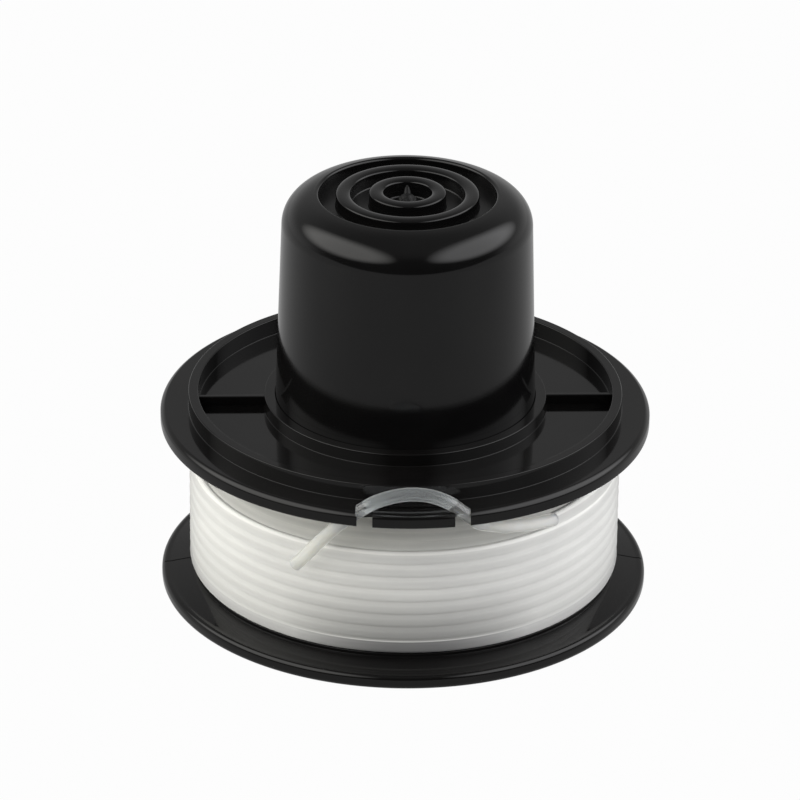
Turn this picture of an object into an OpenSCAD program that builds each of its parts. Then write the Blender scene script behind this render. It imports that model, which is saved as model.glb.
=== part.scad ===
// Bump-feed line reel: a moulded spool wound with round trimmer line, with a
// sprung bump knob, and a drive hub that the spool steps round.
// Millimetres, +Z up. The origin is on the reel's axis, on the face that it rests on.

/* [Flanges] */
// Outer radius of both flanges
flange_r = 31; // [29.5:0.1:33]
// Thickness of the lower flange
lower_flange_t = 1.9; // [1.7:0.05:2.2]
// Thickness of the upper flange
upper_flange_t = 1.1; // [1:0.05:1.5]
// Clear height between the flanges
flange_gap = 21; // [20.9:0.1:22]
// Depth of the lip under the upper flange's rim
rim_lip_h = 0.5; // [0.3:0.05:0.55]
// Width of that lip
rim_lip_w = 0.9; // [0.6:0.05:1]
// Rounding of the flange edges
flange_edge_r = 0.7; // [0.3:0.05:0.75]
// Width of the rounding on top of the upper flange's rim
rim_round_w = 1.3; // [0.7:0.05:1.5]
// Depth of the relief under the lower flange
relief_depth = 0.5; // [0.3:0.05:0.8]
// Width of the plain land at the flange edge, outside the relief
relief_land = 1.7; // [1.2:0.1:2.5]
// Number of ribs across the relief
relief_ribs = 8; // [4:1:12]
// Width of a relief rib
relief_rib_w = 1.2; // [0.8:0.1:2]
// Width of the parting line on the lower flange
parting_line_w = 0.2; // [0.1:0.05:0.3]
// Depth of the parting line
parting_line_depth = 0.15; // [0.1:0.05:0.25]

/* [Top of the upper flange] */
// Width of the rim outside the ring wall
rim_w = 3.55; // [3.2:0.05:4]
// Thickness of the ring wall
ring_wall_t = 1.25; // [0.9:0.05:1.6]
// Height of the ring wall over the flange
ring_wall_h = 2.5; // [1.8:0.1:3]
// Thickness of the collar round the knob
collar_t = 1.33; // [1:0.05:1.7]
// Height of the collar over the flange
collar_h = 1.95; // [1.4:0.05:2.4]
// Rounding of the top edges of the ring wall and the collar
wall_edge_r = 0.15; // [0.1:0.05:0.25]
// Thickness of the two radial ribs
rib_t = 0.7; // [0.5:0.05:1]
// Height of the two radial ribs
rib_h = 1.6; // [1.2:0.05:1.8]
// Width of a line notch in the rim
notch_w = 1.9; // [1.85:0.01:2]
// Width of the tab between the two notches
tab_w = 10.1; // [9.95:0.05:10.15]
// Depth of the notches and the tab from the rim
notch_depth = 2.4; // [2.38:0.01:2.6]
// Height of the tab over the flange
tab_lift = 0.1; // [0.05:0.01:0.15]
// How far the tab's raised face stands in from the rim
tab_inset = 0.7; // [0.5:0.05:1]

/* [Drum] */
// Gap between the knob's bead and the drum's bore
bead_gap = 0.25; // [0.15:0.05:0.4]
// Wall of the drum
drum_wall = 1.45; // [1.2:0.05:1.6]
// Height of the lip that stops the knob, under the upper flange
lip_h = 1.1; // [0.8:0.05:1.3]
// How far the step that the line rests on stands in from the wound line's outside
seat_inset = 1.85; // [1.75:0.05:2.5]
// Height of that step
seat_h = 1.1; // [0.9:0.05:1.2]
// Thickness of the web that carries the hub
web_t = 1.6; // [1.3:0.1:1.8]
// Height of the web over the resting face
web_z = 2.2; // [2.1:0.05:2.4]
// Width of a guide key on the drum wall
key_w = 2.8; // [2.2:0.1:3.4]
// Number of guide keys
key_count = 4; // [3:1:6]

/* [Knob] */
// Height of the reel to the top of the knob's inner ring
reel_h = 53.8; // [53:0.1:55]
// Radius of the knob at its foot
knob_r = 16.45; // [16.35:0.01:16.5]
// How much narrower the knob is at its shoulder
knob_draft = 0.75; // [0.5:0.05:1]
// Width of the rounded shoulder
shoulder_w = 5.5; // [5:0.1:6]
// Height of the rounded shoulder
shoulder_h = 4.4; // [4:0.1:5]
// Wall of the knob's skirt
knob_wall = 1.7; // [1.5:0.05:1.9]
// Thickness of the knob's top under the grooves
knob_top_t = 1.9; // [1.6:0.1:2.2]
// Depth of the grooves between the rings
groove_depth = 1.85; // [1.4:0.05:2.1]
// Radius of the outer groove
groove_r = 11.05; // [10.8:0.05:11.2]
// Outer radius of the middle ring
mid_ring_r = 8.75; // [8.5:0.05:9]
// Outer radius of the inner ring
inner_ring_r = 4.72; // [4.5:0.02:4.9]
// Width of each ring
ring_w = 1.81; // [1.5:0.01:2]
// Crown of each ring
ring_crown = 0.35; // [0.2:0.05:0.5]
// How much higher each ring stands than the one outside it
ring_step = 0.35; // [0.2:0.05:0.4]
// Radius of the gate mark in the middle
gate_r = 0.9; // [0.6:0.1:1.3]
// Height of the gate mark
gate_h = 0.6; // [0.3:0.1:1]
// Travel of the knob when it is bumped
stroke = 5; // [4:0.1:5.2]
// Height of the bead round the knob's foot
bead_h = 1.6; // [1.2:0.1:1.8]
// How far the bead stands out
bead_out = 0.55; // [0.45:0.05:0.6]

/* [Index sleeve] */
// Wall of the sleeve
sleeve_wall = 1.45; // [1.3:0.05:1.6]
// Depth of the sleeve's spigot in the knob
spigot_h = 8; // [6:0.5:10]
// Height of a dog
dog_h = 3; // [2.6:0.1:3.3]
// Width of a dog and of a hub lug
dog_w = 3.4; // [2.8:0.1:3.8]
// Reach of a dog towards the hub
dog_reach = 1.85; // [1.7:0.05:1.9]
// Number of dogs and of hub lugs
dog_count = 4; // [3:1:4]
// Free angle between a dog and the hub lug that it holds
dog_gap_angle = 1.9; // [1.5:0.1:3]

/* [Hub] */
// Bore for the trimmer's spindle, as a diameter
spindle_d = 8; // [6:0.1:8.2]
// Length of the spindle bush
bush_l = 24; // [18:1:28]
// Wall of the spindle bush
bush_wall = 1; // [0.9:0.05:1.1]
// Radius of the hub where it turns in the web
journal_r = 6.5; // [6.4:0.05:6.7]
// Radius of the hub's tube inside the spring
hub_tube_r = 6.2; // [6.1:0.05:6.3]
// Radius of the hub's foot on the thrust washer
hub_foot_r = 9.5; // [9:0.1:10]
// Height of the hub over the resting face
hub_z = 0.4; // [0.3:0.05:0.6]
// Reach of a hub lug from the drive disc
lug_reach = 1.8; // [1.7:0.05:1.85]
// Thickness of the drive disc and its lugs
lug_h = 4; // [3.6:0.1:4.2]

/* [Spring and rings] */
// Thickness of the thrust washer and the spring seats
washer_t = 0.5; // [0.4:0.05:0.6]
// How far the thrust washer stands out past the hub's foot
washer_reach = 1; // [0.5:0.1:1.2]
// How far a spring seat stands out past the spring's mean radius
spring_seat_reach = 1.3; // [1:0.1:1.5]
// Diameter of the spring's wire
wire_d = 1.3; // [1:0.05:1.4]
// Gap between the spring and the guide tube
spring_gap = 0.87; // [0.5:0.01:1]
// Number of turns of the spring
spring_turns = 8; // [6:1:9]
// Wall of the knob's guide tube
guide_wall = 1.4; // [1.2:0.05:1.5]
// Length of the guide tube
guide_l = 11; // [9:0.5:13]
// Thickness of the retaining ring
clip_t = 0.7; // [0.5:0.05:0.75]
// Reach of the retaining ring over the hub
clip_reach = 1.7; // [1.4:0.1:2]
// Depth of the groove that holds it
clip_groove = 0.6; // [0.4:0.05:0.7]
// Opening angle of the retaining ring
clip_gap = 50; // [40:1:70]

/* [Line] */
// Diameter of the line
line_d = 1.65; // [1.6:0.01:1.7]
// Layers of line under the outer one
under_layers = 5; // [4:1:5]
// Spacing of one layer from the next
layer_step = 1.4; // [1.38:0.01:1.42]
// Rise from one turn to the next
line_pitch = 1.74; // [1.73:0.01:1.76]
// Rise from one turn to the next in the layer under it
inner_pitch = 1.71; // [1.71:0.01:1.74]
// Thickness at which the wound turns are drawn, so that they stay apart
turn_d = 1.3; // [1.2:0.01:1.3]
// Turns in the outer layer, before the line leaves it
outer_turns = 8; // [7:1:8]
// Turns of the next layer that stand above the outer one
inner_turns = 4; // [3:1:4]

/* [Fits] */
// Radial clearance of a part that slides or turns in another
run_clear = 0.08; // [0.05:0.01:0.1]
// Gap between pieces that pass each other
free_gap = 0.3; // [0.2:0.05:0.35]
// Gap between a stop and what rests on it
stop_gap = 0.15; // [0.1:0.01:0.2]
// Clearance of the line over its core
core_clear = 0.05; // [0.03:0.01:0.08]

/* [Hidden] */
$fn = 96;
eps = 0.01;
// How far a block runs into the wall that it grows from, and a cut past what it cuts
joint_overlap = 0.2;
margin = 1;

black = [0.13, 0.13, 0.13];
steel = [0.62, 0.63, 0.65];
brass = [0.72, 0.58, 0.3];
acetal = [0.86, 0.85, 0.81];
nylon = [0.84, 0.85, 0.82];

// Levels of the spool
upper_flange_z = lower_flange_t + flange_gap;
floor_z = upper_flange_z + upper_flange_t;
seat_z = lower_flange_t + seat_h;
web_top = web_z + web_t;
lip_z = upper_flange_z - lip_h;
bead_r = knob_r + bead_out;
drum_bore_r = bead_r + bead_gap;
drum_r = drum_bore_r + drum_wall;
wound_r = drum_r + under_layers * layer_step + line_d;
seat_r = wound_r - seat_inset;
guide_bore_r = knob_r + run_clear;
collar_r = guide_bore_r + collar_t;
ring_wall_r = flange_r - rim_w;
ring_wall_in = ring_wall_r - ring_wall_t;
notch_x = tab_w / 2 + notch_w / 2;
relief_in = drum_r + relief_land;
relief_out = flange_r - relief_land;

// Levels and radii of the knob
knob_foot_z = lip_z - stop_gap - bead_h;
rim_z = reel_h - ring_step;
groove_z = rim_z - groove_depth;
plate_z = groove_z - knob_top_t;
shoulder_z = rim_z - shoulder_h;
shoulder_r = knob_r - knob_draft;
draft_z = floor_z + collar_h;
skirt_in = knob_r - knob_wall;
spigot_top = knob_foot_z + spigot_h;
roof_in = shoulder_r - knob_wall;
guide_in = hub_tube_r + run_clear;
guide_out = guide_in + guide_wall;
spring_r = guide_out + spring_gap + wire_d / 2;
spring_seat_r = spring_r + spring_seat_reach;

// Levels and radii of the sleeve, hub, spring and rings
washer_top = web_top + washer_t;
sleeve_z = washer_top + stroke + free_gap;
sleeve_r = knob_r - free_gap;
sleeve_in = skirt_in - sleeve_wall;
dog_in = sleeve_in - dog_reach;
disc_r = dog_in - free_gap;
lug_r = disc_r + lug_reach;
dog_top = sleeve_z + dog_h;
disc_top = dog_top + free_gap;
disc_z = disc_top - lug_h;
hub_top = plate_z - stroke - 2 * free_gap;
bush_r = spindle_d / 2 + bush_wall;
seat_top = disc_top + washer_t;
spring_top = plate_z - washer_t;
clip_z = web_z - free_gap - clip_t;
clip_in = journal_r - clip_groove;
clip_r = journal_r + clip_reach;
dog_offset = 2 * asin(dog_w / 2 / dog_in) + dog_gap_angle;

// Places of the line's layers
rings_per_loop = 24;
half_step = 180 / rings_per_loop;
outer_mid_r = wound_r - line_d / 2;
inner_mid_r = outer_mid_r - layer_step;
outer_first_z = seat_z + core_clear + line_d / 2;
inner_last_z = upper_flange_z - core_clear - line_d / 2;
low_core_r = outer_mid_r * cos(half_step) - turn_d / 2 - core_clear;
high_core_r = inner_mid_r * cos(half_step) - turn_d / 2 - core_clear;
core_step_z = inner_last_z - (inner_turns - 1) * inner_pitch - line_d / 2 - core_clear;

// Angle of the first guide key, clear of the ribs and the notches
key_angle = 45;

// Each wound layer lies flat round the drum and climbs one pitch between these angles
climb_from = 120;
climb_to = 60;
leave_angle = -45;

// Hand-chosen stations of the free line: up the right notch, over the tab,
// down the left notch, and on to the cut end
tail_stations = [
    [16.2, -21.2, 18.2], [14.6, -22.8, 18.75], [13.0, -24.3, 19.4], [11.4, -25.7, 20.0],
    [9.8, -27.0, 20.7], [8.3, -28.1, 21.2], [7.0, -28.9, 21.4], [6.2, -29.35, 21.6],
    [6.0, -29.45, 22.4], [6.0, -29.45, 23.6], [6.0, -29.4, 24.1], [5.7, -29.3, 24.75],
    [5.0, -29.15, 25.15], [4.1, -28.95, 25.4], [2.2, -28.7, 25.8], [0, -28.6, 25.95],
    [-2.2, -28.7, 25.8], [-4.1, -28.95, 25.4], [-5.0, -29.15, 25.15], [-5.7, -29.3, 24.75],
    [-6.0, -29.4, 24.1], [-6.0, -29.45, 23.6], [-6.0, -29.45, 22.4], [-6.2, -29.35, 21.6],
    [-7.2, -28.95, 21.4], [-8.3, -28.5, 21.3], [-9.3, -28.0, 20.9], [-10.5, -27.4, 19.7],
    [-11.7, -26.8, 18.2], [-13.0, -26.0, 16.4], [-14.3, -25.1, 14.6]];

// Point at an angle on a circle in the XY plane
function on_circle(r, a, z) = [r * cos(a), r * sin(a), z];

// Round corner of an outline, from angle a0 to a1 round a centre
function corner(c, rx, rz, a0, a1, n = 6) =
    [for (i = [0:n]) let (a = a0 + (a1 - a0) * i / n) [c[0] + rx * cos(a), c[1] + rz * sin(a)]];

// Smooth rise from 0 to 1
function smooth(t) = t <= 0 ? 0 : t >= 1 ? 1 : t * t * (3 - 2 * t);

// Height in pitches after u turns, for a layer that climbs at the end of each turn
climb_share = (climb_from - climb_to) / 360;
function climbed(u) = floor(u) + smooth((u - floor(u) - (1 - climb_share)) / climb_share);

// Centre points of a wound layer, going clockwise seen from above
function layer_points(r, z0, pitch, steps) =
    [for (i = [0:steps]) let (u = i / rings_per_loop)
        on_circle(r, climb_to - 360 * u, z0 + pitch * climbed(u))];

// Straight run of one diameter added to each end of a path
function with_straight_ends(p, d) = let (n = len(p) - 1,
        a = (p[0] - p[1]) / norm(p[0] - p[1]), b = (p[n] - p[n - 1]) / norm(p[n] - p[n - 1]))
    concat([p[0] + a * d], p, [p[n] + b * d]);

// Direction of a path at point i
function heading(p, i) = let (n = len(p) - 1,
        d = p[min(i + 1, n)] - p[max(i - 1, 0)]) d / norm(d);

// Least clear gap between stretches of a path that lie at least `skip` points apart
function least_gap(p, d, skip) = min([for (i = [0:len(p) - 1]) for (j = [i + skip:1:len(p) - 1])
    norm(p[i] - p[j])]) - d;

// Tube swept along a path, with rings square to it; `up` is never along the path
module tube(p, d, sides, up) {
    n = len(p);
    rings = [for (i = [0:n - 1]) let (t = heading(p, i), u0 = cross(t, up),
            u = u0 / norm(u0), v = cross(t, u))
        for (k = [0:sides - 1]) let (a = 360 * (k + 0.5) / sides)
            p[i] + d / 2 * (cos(a) * u + sin(a) * v)];
    sides_a = [for (i = [0:n - 2]) for (k = [0:sides - 1])
        [i * sides + k, i * sides + (k + 1) % sides, (i + 1) * sides + k]];
    sides_b = [for (i = [0:n - 2]) for (k = [0:sides - 1])
        [i * sides + (k + 1) % sides, (i + 1) * sides + (k + 1) % sides, (i + 1) * sides + k]];
    start = [for (k = [1:sides - 2]) [0, k + 1, k]];
    last = (n - 1) * sides;
    finish = [for (k = [1:sides - 2]) [last, last + k, last + k + 1]];
    polyhedron(points = rings, faces = concat(sides_a, sides_b, start, finish));
}

// Flat ring between two radii
module ring(r_out, r_in, z0, z1) {
    translate([0, 0, z0])
        difference() {
            cylinder(r = r_out, h = z1 - z0);
            translate([0, 0, -margin]) cylinder(r = r_in, h = z1 - z0 + 2 * margin);
        }
}

// Blocks that stand round the axis from r0 to r1
module blocks(count, r0, r1, w, z0, z1, first = 0) {
    for (i = [0:count - 1])
        rotate([0, 0, first + i * 360 / count])
            translate([r0, -w / 2, z0])
                cube([r1 - r0, w, z1 - z0]);
}

// Half outline of the spool: flanges, drum, step, lip, collar and ring wall
module spool_outline() {
    low_e = min(flange_edge_r, lower_flange_t / 2 - eps);
    up_e = min(flange_edge_r, upper_flange_t - eps);
    lip_e = rim_lip_h / 2;
    lip_in = flange_r - rim_lip_w;
    rim_low = upper_flange_z - rim_lip_h;
    wall_top = floor_z + ring_wall_h;
    edge = wall_edge_r;
    polygon(concat(
        [[drum_bore_r, 0]],
        corner([flange_r - low_e, low_e], low_e, low_e, -90, 0),
        corner([flange_r - low_e, lower_flange_t - low_e], low_e, low_e, 0, 90),
        [[seat_r, lower_flange_t], [seat_r, seat_z], [drum_r, seat_z], [drum_r, upper_flange_z],
            [lip_in - lip_e, upper_flange_z], [lip_in, rim_low]],
        corner([flange_r - lip_e, rim_low + lip_e], lip_e, lip_e, -90, 0, 3),
        corner([flange_r - rim_round_w, floor_z - up_e], rim_round_w, up_e, 0, 90),
        [[ring_wall_r, floor_z]],
        corner([ring_wall_r - edge, wall_top - edge], edge, edge, 0, 90, 2),
        corner([ring_wall_in + edge, wall_top - edge], edge, edge, 90, 180, 2),
        [[ring_wall_in, floor_z], [collar_r, floor_z]],
        corner([collar_r - edge, draft_z - edge], edge, edge, 0, 90, 2),
        corner([guide_bore_r + edge, draft_z - edge], edge, edge, 90, 180, 2),
        [[guide_bore_r, lip_z], [drum_bore_r, lip_z]]));
}

// The spool in one moulding
module spool_body() {
    color(black)
    difference() {
        union() {
            rotate_extrude() spool_outline();
            ring(drum_bore_r + joint_overlap, journal_r + run_clear, web_z, web_top);
            blocks(key_count, guide_bore_r, drum_bore_r + joint_overlap, key_w, web_top - eps,
                lip_z + eps, key_angle);
            blocks(2, collar_r - joint_overlap, ring_wall_in + joint_overlap, rib_t,
                floor_z - joint_overlap, floor_z + rib_h);
            raised_tab();
        }
        difference() {
            ring(relief_out, relief_in, -margin, relief_depth);
            blocks(relief_ribs, relief_in - margin, relief_out + margin, relief_rib_w,
                -2 * margin, relief_depth + margin, 180 / relief_ribs);
        }
        for (side = [-1, 1])
            translate([side * notch_x - notch_w / 2, -flange_r - margin,
                    upper_flange_z - rim_lip_h - margin])
                cube([notch_w, notch_depth + margin,
                    rim_lip_h + upper_flange_t + tab_lift + 2 * margin]);
        blocks(2, seat_r, flange_r + margin, parting_line_w, lower_flange_t - parting_line_depth,
            lower_flange_t + margin);
    }
}

// The tab between the notches stands a little over the flange
module raised_tab() {
    intersection() {
        cylinder(r = flange_r - tab_inset, h = floor_z + tab_lift);
        translate([-tab_w / 2, -flange_r, floor_z - joint_overlap])
            cube([tab_w, notch_depth, tab_lift + joint_overlap]);
    }
}

// Crowned top of a ring on the knob, as outline points from inside to outside
function crown(r_out, top) = corner([r_out - ring_w / 2, top - ring_crown], ring_w / 2, ring_crown,
    180, 0, 8);

// Half outline of the knob
module knob_outline() {
    dome_r = shoulder_r - shoulder_w;
    lip_angle = acos((groove_r - dome_r) / shoulder_w);
    polygon(concat(
        [[skirt_in, knob_foot_z], [skirt_in, spigot_top], [roof_in, plate_z],
            [guide_out, plate_z], [guide_out, plate_z - guide_l], [guide_in, plate_z - guide_l],
            [guide_in, plate_z], [0, plate_z], [0, groove_z], [inner_ring_r - ring_w, groove_z]],
        crown(inner_ring_r, reel_h),
        [[inner_ring_r, groove_z], [mid_ring_r - ring_w, groove_z]],
        crown(mid_ring_r, reel_h - ring_step),
        [[mid_ring_r, groove_z], [groove_r, groove_z]],
        corner([dome_r, shoulder_z], shoulder_w, shoulder_h, lip_angle, 0, 10),
        [[knob_r, draft_z], [knob_r, knob_foot_z + bead_h], [bead_r, knob_foot_z + bead_h],
            [bead_r, knob_foot_z + bead_out], [knob_r, knob_foot_z]]));
}

// The knob that is bumped on the ground
module bump_knob() {
    color(black)
    difference() {
        union() {
            rotate_extrude() knob_outline();
            translate([0, 0, groove_z - eps]) cylinder(r = gate_r, h = gate_h + eps);
        }
        blocks(key_count, knob_r, bead_r + margin, key_w + 2 * free_gap,
            knob_foot_z - margin, knob_foot_z + bead_h + margin, key_angle);
    }
}

// The sleeve that locks the knob's dogs to the hub's lugs
module index_sleeve() {
    color(acetal)
    union() {
        ring(sleeve_r, sleeve_in, sleeve_z, knob_foot_z);
        ring(skirt_in, sleeve_in, knob_foot_z - eps, spigot_top - free_gap);
        blocks(dog_count, dog_in, sleeve_in + joint_overlap, dog_w, sleeve_z, dog_top, -dog_offset);
    }
}

// The hub that the trimmer's spindle drives
module drive_hub() {
    color(acetal)
    difference() {
        union() {
            translate([0, 0, hub_z]) cylinder(r = journal_r, h = washer_top - hub_z + eps);
            translate([0, 0, washer_top]) cylinder(r = hub_foot_r, h = disc_z - washer_top + eps);
            translate([0, 0, disc_z]) cylinder(r = disc_r, h = lug_h);
            translate([0, 0, disc_top - eps]) cylinder(r = hub_tube_r, h = hub_top - disc_top + eps);
            blocks(dog_count, disc_r - margin, lug_r, dog_w, disc_z, disc_top);
        }
        translate([0, 0, hub_z - margin]) cylinder(r = bush_r, h = bush_l + margin);
        translate([0, 0, hub_z + bush_l - margin])
            cylinder(r = spindle_d / 2 + free_gap, h = hub_top - hub_z - bush_l + 2 * margin);
        ring(journal_r + margin, clip_in, clip_z - stop_gap, clip_z + clip_t + stop_gap);
    }
}

// The bush that takes the spindle
module spindle_bush() {
    color(brass) ring(bush_r, spindle_d / 2, hub_z, hub_z + bush_l);
}

// Ring that keeps the hub in the web
module retaining_ring() {
    far = clip_r * 2;
    half = clip_gap / 2;
    color(steel)
    difference() {
        ring(clip_r, clip_in + run_clear, clip_z, clip_z + clip_t);
        translate([0, 0, clip_z - margin])
            linear_extrude(clip_t + 2 * margin)
                polygon([[0, 0], [far * cos(half), -far * sin(half)], [far * cos(half), far * sin(half)]]);
    }
}

// Washer between the hub's foot and the web
module thrust_washer() {
    color(steel) ring(hub_foot_r + washer_reach, journal_r + run_clear, web_top, washer_top);
}

// Washer under the spring, on the drive disc
module lower_spring_seat() {
    color(steel) ring(spring_seat_r, hub_tube_r + run_clear, disc_top, seat_top);
}

// Washer over the spring, under the knob's top
module upper_spring_seat() {
    color(steel) ring(spring_seat_r, guide_out + run_clear, spring_top, plate_z);
}

// The spring that pushes the knob out
module bump_spring() {
    rings = 8;
    z0 = seat_top + wire_d / 2 + core_clear;
    z1 = spring_top - wire_d / 2 - core_clear;
    steps = spring_turns * rings;
    path = [for (i = [0:steps]) on_circle(spring_r, 360 * i / rings, z0 + (z1 - z0) * i / steps)];
    echo(spring_least_gap = least_gap(path, wire_d, rings - 2));
    color(steel) tube(path, wire_d, 6, [0, 0, 1]);
}

// The wound line inside the turns that show
module line_core() {
    color(nylon)
    rotate_extrude()
        polygon([[drum_r + eps, seat_z + eps], [low_core_r, seat_z + eps], [low_core_r, core_step_z],
            [high_core_r, core_step_z], [high_core_r, upper_flange_z - core_clear],
            [drum_r + eps, upper_flange_z - core_clear]]);
}

outer_steps = outer_turns * rings_per_loop
    + round((climb_to - leave_angle) / 360 * rings_per_loop);
outer_path = with_straight_ends(
    layer_points(outer_mid_r, outer_first_z, line_pitch, outer_steps), turn_d);
inner_path = with_straight_ends(
    layer_points(inner_mid_r, inner_last_z, -inner_pitch,
        inner_turns * rings_per_loop - round(climb_share * rings_per_loop)), turn_d);

// Turns of the inner layer that stand above the outer one
module line_inner_turns() {
    echo(inner_turns_least_gap = least_gap(inner_path, turn_d, rings_per_loop / 2));
    color(nylon) tube(inner_path, turn_d, 6, [0, 0, 1]);
}

// Turns of the outer layer
module line_outer_turns() {
    echo(outer_turns_least_gap = least_gap(outer_path, turn_d, rings_per_loop / 2));
    color(nylon) tube(outer_path, turn_d, 6, [0, 0, 1]);
}

// Free line from the outer layer's last turn to its cut end
module line_tail() {
    path = concat([outer_path[len(outer_path) - 1]], tail_stations);
    color(nylon) tube(path, line_d, 8, [0, 1, 0]);
}

spool_body();
bump_knob();
index_sleeve();
drive_hub();
spindle_bush();
retaining_ring();
thrust_washer();
lower_spring_seat();
bump_spring();
upper_spring_seat();
line_core();
line_inner_turns();
line_outer_turns();
line_tail();
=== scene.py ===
import math

import bmesh
import bpy
from mathutils import Matrix, Vector


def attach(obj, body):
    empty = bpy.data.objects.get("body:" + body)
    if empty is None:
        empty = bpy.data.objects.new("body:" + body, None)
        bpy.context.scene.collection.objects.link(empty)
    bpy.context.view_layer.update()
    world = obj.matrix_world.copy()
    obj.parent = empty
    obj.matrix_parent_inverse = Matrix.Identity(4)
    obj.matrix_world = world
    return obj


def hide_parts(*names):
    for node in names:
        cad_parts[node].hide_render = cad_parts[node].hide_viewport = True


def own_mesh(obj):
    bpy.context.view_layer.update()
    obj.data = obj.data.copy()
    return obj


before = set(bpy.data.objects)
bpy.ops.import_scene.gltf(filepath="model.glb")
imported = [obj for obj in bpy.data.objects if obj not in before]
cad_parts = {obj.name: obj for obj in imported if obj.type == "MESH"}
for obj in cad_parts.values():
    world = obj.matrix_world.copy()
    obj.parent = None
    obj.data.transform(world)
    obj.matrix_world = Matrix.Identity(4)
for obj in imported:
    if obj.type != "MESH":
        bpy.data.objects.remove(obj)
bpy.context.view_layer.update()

scene = bpy.context.scene
mm = 0.001   # the pieces' sizes are in millimetres, and the scene is in metres


# Camera

cameraValues = {
    "target": (0, 0, 25),
    "distance": 650,
    "elevation": 26.1,
    "turn": 2.31,        # degrees that the camera stands left of the tab
    "roll": 0.68,
    "lens": 230.84,
    "sensor": 36,
    "clip": (0.05, 20),  # in metres
    "aimLeft": 0.659,    # how far the middle of the frame lies off the target
    "aimLow": 0.228,
}


def makeCamera(v):
    tilt = math.radians(v["elevation"])
    roll = math.radians(v["roll"])
    turn = Matrix.Rotation(-math.radians(v["turn"]), 3, "Z")
    right = turn @ Vector((1, 0, 0))
    high = turn @ Vector((0, math.sin(tilt), math.cos(tilt)))
    ahead = turn @ Vector((0, math.cos(tilt), -math.sin(tilt)))
    target = Vector(v["target"]) * mm
    place = target - ahead * v["distance"] * mm
    side = right * math.cos(roll) + high * math.sin(roll)
    top = high * math.cos(roll) - right * math.sin(roll)
    aim = target - side * v["aimLeft"] * mm - top * v["aimLow"] * mm
    ahead = (aim - place).normalized()
    side = (side - ahead * side.dot(ahead)).normalized()
    top = side.cross(ahead)
    data = bpy.data.cameras.new("camera")
    data.lens = v["lens"]
    data.sensor_width = v["sensor"]
    data.clip_start, data.clip_end = v["clip"]
    camera = bpy.data.objects.new("camera", data)
    camera.matrix_world = Matrix((side, top, -ahead)).transposed().to_4x4()
    camera.location = place
    scene.collection.objects.link(camera)
    scene.camera = camera


makeCamera(cameraValues)
print("camera placed")


# Small tools for meshes

def addObject(name, mesh):
    piece = bpy.data.objects.new(name, mesh)
    scene.collection.objects.link(piece)
    return piece


def finishMesh(mesh, sharp=32, weld=1e-7, thin=1e-8):
    work = bmesh.new()
    work.from_mesh(mesh)
    bmesh.ops.remove_doubles(work, verts=work.verts, dist=weld)
    bmesh.ops.dissolve_degenerate(work, dist=thin, edges=work.edges)
    bmesh.ops.recalc_face_normals(work, faces=work.faces)
    for face in work.faces:
        face.smooth = True
    work.to_mesh(mesh)
    work.free()
    mesh.set_sharp_from_angle(angle=math.radians(sharp))


def meshPiece(name, verts, faces, sharp=32):
    mesh = bpy.data.meshes.new(name)
    mesh.from_pydata([Vector(v) * mm for v in verts], [], faces)
    finishMesh(mesh, sharp)
    return addObject(name, mesh)


def roundOutline(corners, arcSteps=6, guard=0.07):
    # A corner is (radius, height) or (radius, height, rounding), and guards keep the flats flat
    points = []
    count = len(corners)
    for i, corner in enumerate(corners):
        here = Vector(corner[:2])
        if len(corner) < 3 or corner[2] == 0:
            points.append(here)
            continue
        before = Vector(corners[i - 1][:2]) - here
        after = Vector(corners[(i + 1) % count][:2]) - here
        back = before.normalized()
        on = after.normalized()
        half = before.angle(after) / 2
        reach = corner[2] / math.tan(half)
        middle = here + (back + on).normalized() * corner[2] / math.sin(half)
        start = here + back * reach
        end = here + on * reach
        if before.length - reach > 3 * guard:
            points.append(start + back * guard)
        a = start - middle
        b = end - middle
        angle = a.angle(b)
        for k in range(arcSteps + 1):
            t = k / arcSteps
            arm = a * math.sin((1 - t) * angle) + b * math.sin(t * angle)
            points.append(middle + arm / math.sin(angle))
        if after.length - reach > 3 * guard:
            points.append(end + on * guard)
    return points


def ellipseArc(middle, wide, high, first, last, steps, full=1.0):
    # full above 1 fills out the curve between its ends
    points = []
    for i in range(steps + 1):
        angle = math.radians(first + (last - first) * i / steps)
        across = max(0.0, abs(math.cos(angle))) ** (1 / full)
        up = max(0.0, abs(math.sin(angle))) ** (1 / full)
        points.append((middle[0] + wide * math.copysign(across, math.cos(angle)),
                       middle[1] + high * math.copysign(up, math.sin(angle))))
    return points


def ringFaces(rings, size):
    # Faces between rings of so many corners each, and a cap on both ends
    faces = []
    for here in range(0, (rings - 1) * size, size):
        for k in range(size):
            j = (k + 1) % size
            faces.append((here + k, here + j, here + size + j, here + size + k))
    return faces + [tuple(range(size)), tuple(range(rings * size - 1, (rings - 1) * size - 1, -1))]


def lathe(name, outline, steps, sharp=32):
    verts = []
    faces = []
    size = len(outline)
    for k in range(steps):
        angle = 2 * math.pi * k / steps
        for point in outline:
            verts.append((point[0] * math.cos(angle), point[0] * math.sin(angle), point[1]))
    for k in range(steps):
        other = (k + 1) % steps
        for i in range(size):
            j = (i + 1) % size
            faces.append((k * size + i, other * size + i, other * size + j, k * size + j))
    return meshPiece(name, verts, faces, sharp)


def blockPart(low, high, turn=0):
    # Eight corners and six faces of a block, turned round the axis by so many degrees
    spin = Matrix.Rotation(math.radians(turn), 3, "Z")
    verts = [spin @ Vector((x, y, z)) for x in (low[0], high[0]) for y in (low[1], high[1])
             for z in (low[2], high[2])]
    faces = [(0, 1, 3, 2), (4, 6, 7, 5), (0, 4, 5, 1), (2, 3, 7, 6), (0, 2, 6, 4), (1, 5, 7, 3)]
    return verts, faces


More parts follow.
